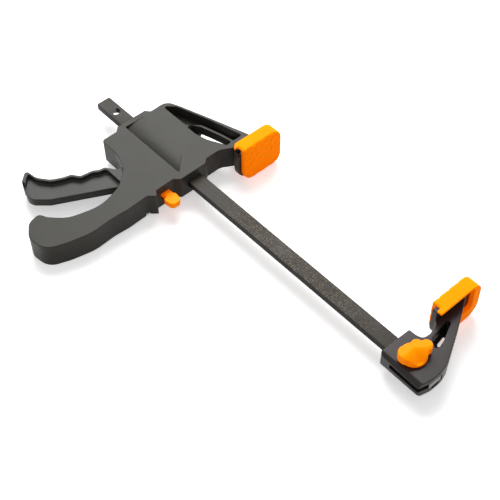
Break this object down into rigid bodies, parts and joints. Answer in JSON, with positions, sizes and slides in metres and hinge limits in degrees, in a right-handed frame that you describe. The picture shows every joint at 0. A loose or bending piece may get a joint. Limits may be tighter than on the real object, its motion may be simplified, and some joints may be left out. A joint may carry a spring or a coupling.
{
  "type": "quick release bar clamp",
  "caption": "One-handed quick release bar clamp: squeeze trigger, release button, soft pads on both jaws, and a fixed jaw locked by a turn knob.",
  "frame": {"origin": "middle of the round hole at the bar's rear end, half way through the bar's thickness", "axes": "+X along the bar towards the fixed jaw, +Y across the bar towards the jaw tips, +Z through the clamp's thickness, out of the side with the knob"},
  "size_m": [0.5075, 0.2896, 0.049],
  "materials": {
    "housing_plastic": "satin, lightly grained",
    "trigger_plastic": "satin",
    "jaw_plastic": "satin",
    "pad_rubber": "matt",
    "orange_plastic": "satin",
    "bar_steel": "dark blued steel, rolled",
    "plate_steel": "hardened plate",
    "fastener_steel": "zinc plated",
    "spring_steel": "drawn wire",
    "bush_bronze": "sintered"
  },
  "bodies": {
    "housing": {"housing_top_shell": "housing_plastic", "housing_bottom_shell": "housing_plastic", "housing_screws": "fastener_steel", "moving_pad": "pad_rubber", "trigger_pin": "fastener_steel", "drive_spring": "spring_steel", "brake_spring": "spring_steel"},
    "trigger": {"trigger": "trigger_plastic", "trigger_bush": "bush_bronze"},
    "drive_plates": {"drive_plate_front": "plate_steel", "drive_plate_rear": "plate_steel"},
    "brake": {"brake_plate": "plate_steel", "release_button": "orange_plastic"},
    "bar": {"bar": "bar_steel", "fixed_jaw": "jaw_plastic", "fixed_pad": "pad_rubber", "keeper_plate": "plate_steel", "knob_washer": "spring_steel"},
    "lock": {"lock_knob": "orange_plastic", "lock_spindle": "fastener_steel", "knob_screw": "fastener_steel", "spindle_cross_pin": "fastener_steel"}
  },
  "joints": [
    {"name": "bar_slide", "type": "slide", "parent": "housing", "child": "bar", "axis": [1, 0, 0], "range_m": [-0.2668, 0.05]},
    {"name": "trigger_squeeze", "type": "hinge", "parent": "housing", "child": "trigger", "pos_m": [0.0921, -0.04, 0], "axis": [0, 0, 1], "range_deg": [0, 20], "stiffness_Nm_per_rad": 0.8, "springref_deg": -8.59},
    {"name": "drive_advance", "type": "slide", "parent": "housing", "child": "drive_plates", "axis": [1, 0, 0], "range_m": [-0.0083, 0], "deforming": ["drive_spring"]},
    {"name": "brake_release", "type": "hinge", "parent": "housing", "child": "brake", "pos_m": [0.1221, 0.0145, 0], "axis": [0, 0, 1], "range_deg": [-6, 0], "stiffness_Nm_per_rad": 0.6, "springref_deg": 8.59, "deforming": ["brake_spring"]},
    {"name": "knob_turn", "type": "hinge", "parent": "bar", "child": "lock", "pos_m": [0.4542, 0, 0], "axis": [0, 0, 1], "range_deg": [0, 90]}
  ],
  "couplings": [
    {"joint": "drive_advance", "follows": "trigger_squeeze", "m_per_rad": -0.02315}
  ]
}
